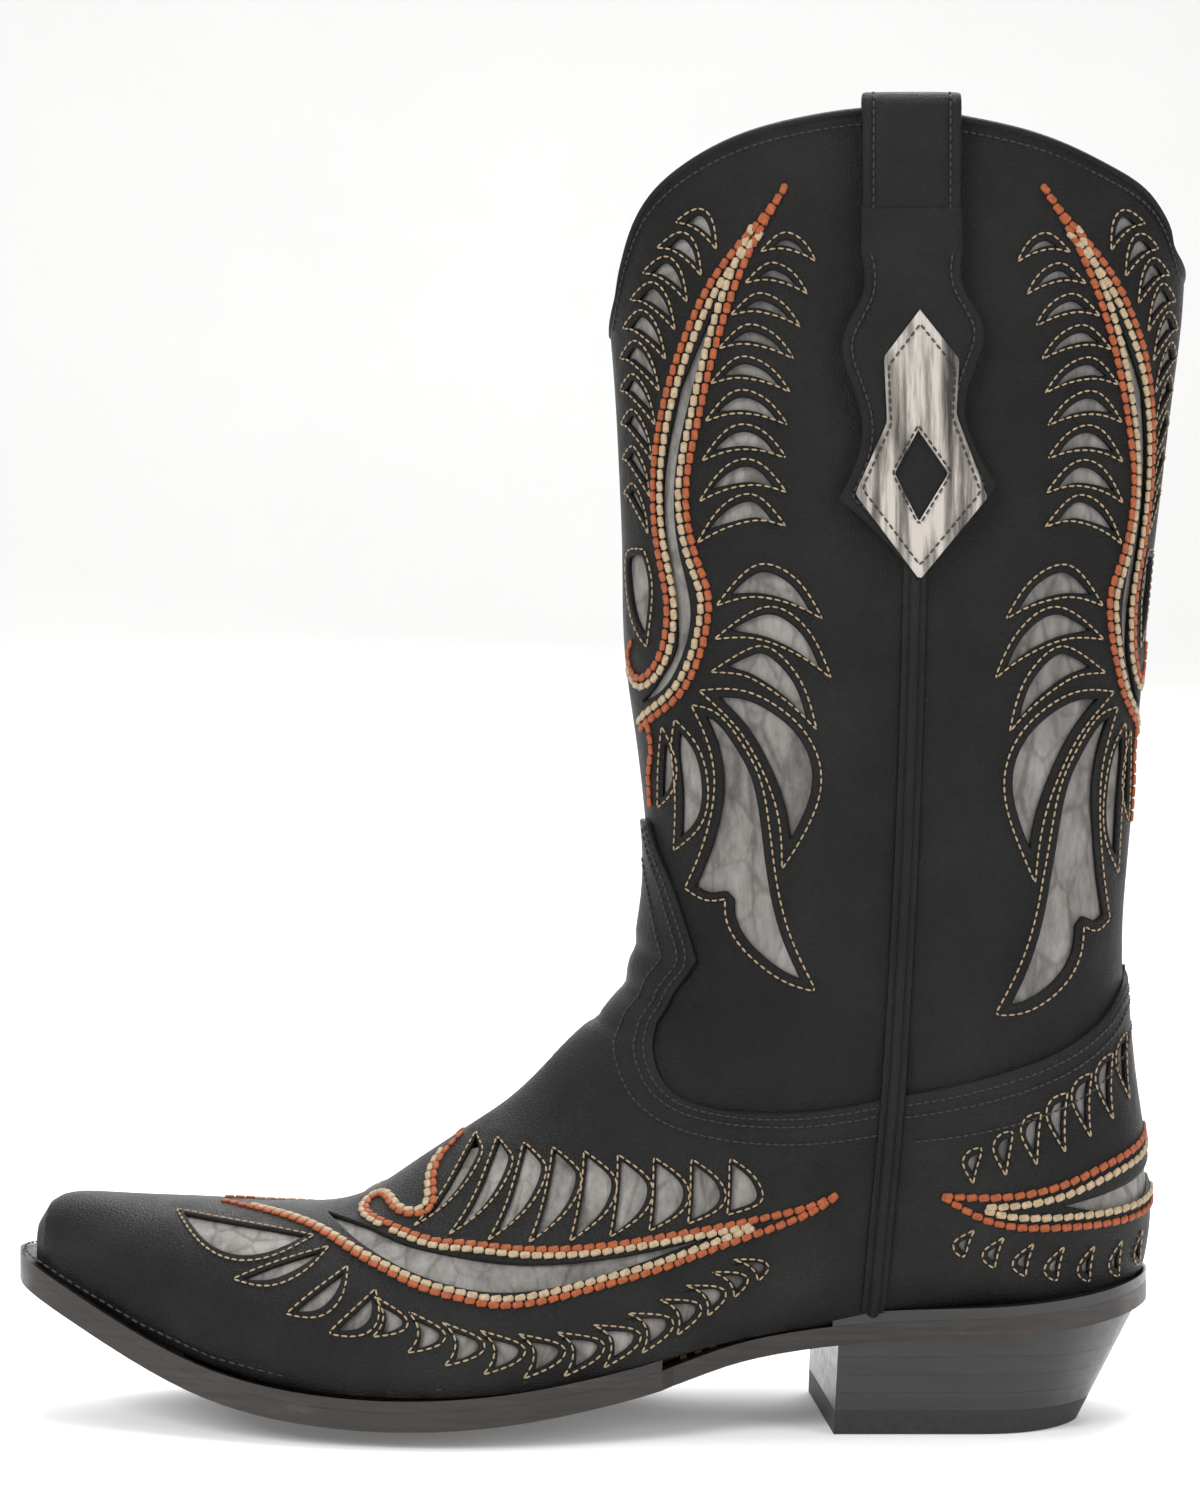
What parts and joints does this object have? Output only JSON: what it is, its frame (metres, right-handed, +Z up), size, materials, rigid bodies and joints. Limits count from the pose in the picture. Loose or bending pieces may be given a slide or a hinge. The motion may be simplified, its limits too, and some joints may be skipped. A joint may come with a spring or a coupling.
{
  "type": "cowboy boot",
  "caption": "Left men's cowboy boot with a tall scalloped shaft, side pull straps, inlaid stitched panels, snip toe, welted leather sole and underslung stacked heel.",
  "frame": {"origin": "on the floor, under the middle of the boot's bounding box", "axes": "+X towards the heel, -Y towards the outer side of the foot, +Z up along the shaft"},
  "size_m": [0.3257, 0.0997, 0.361],
  "materials": {
    "black_leather": "smooth full grain, slightly waxy",
    "grey_inlay": "brushed, cracked metallic grey",
    "lining_leather": "matt natural",
    "board": "matt fibre board",
    "cork": "matt",
    "sole_leather": "burnished dark edge",
    "heel_leather": "glossy black edge dressing",
    "heel_rubber": "matt black",
    "steel": "bare",
    "peg_wood": "matt"
  },
  "bodies": {
    "root": {"vamp": "black_leather", "heel_counter_cover": "black_leather", "shaft_front_panel": "black_leather", "shaft_back_panel": "black_leather", "shaft_front_lining": "lining_leather", "shaft_back_lining": "lining_leather", "foot_lining": "lining_leather", "shaft_front_inlay": "grey_inlay", "shaft_back_inlay": "grey_inlay", "vamp_inlay": "grey_inlay", "heel_counter_inlay": "grey_inlay", "toe_box": "board", "heel_stiffener": "board", "collar_bead": "black_leather", "side_piping_outer": "black_leather", "side_piping_inner": "black_leather", "pull_strap_outer_tail": "black_leather", "pull_strap_outer_overlay": "grey_inlay", "pull_strap_outer_lining_tail": "black_leather", "pull_strap_outer_loop": "black_leather", "pull_strap_inner_tail": "black_leather", "pull_strap_inner_overlay": "grey_inlay", "pull_strap_inner_lining_tail": "black_leather", "pull_strap_inner_loop": "black_leather", "steel_shank": "steel", "cork_filler": "cork", "insole": "board", "sock_liner": "lining_leather", "welt": "sole_leather", "heel_rand": "sole_leather", "outsole": "sole_leather", "heel_top_lift": "heel_rubber", "heel_lift_1": "heel_leather", "heel_lift_2": "heel_leather", "heel_lift_3": "heel_leather", "heel_wedge_lift": "heel_leather", "heel_nails": "steel", "top_lift_nails": "steel", "waist_pegs": "peg_wood"}
  },
  "joints": []
}
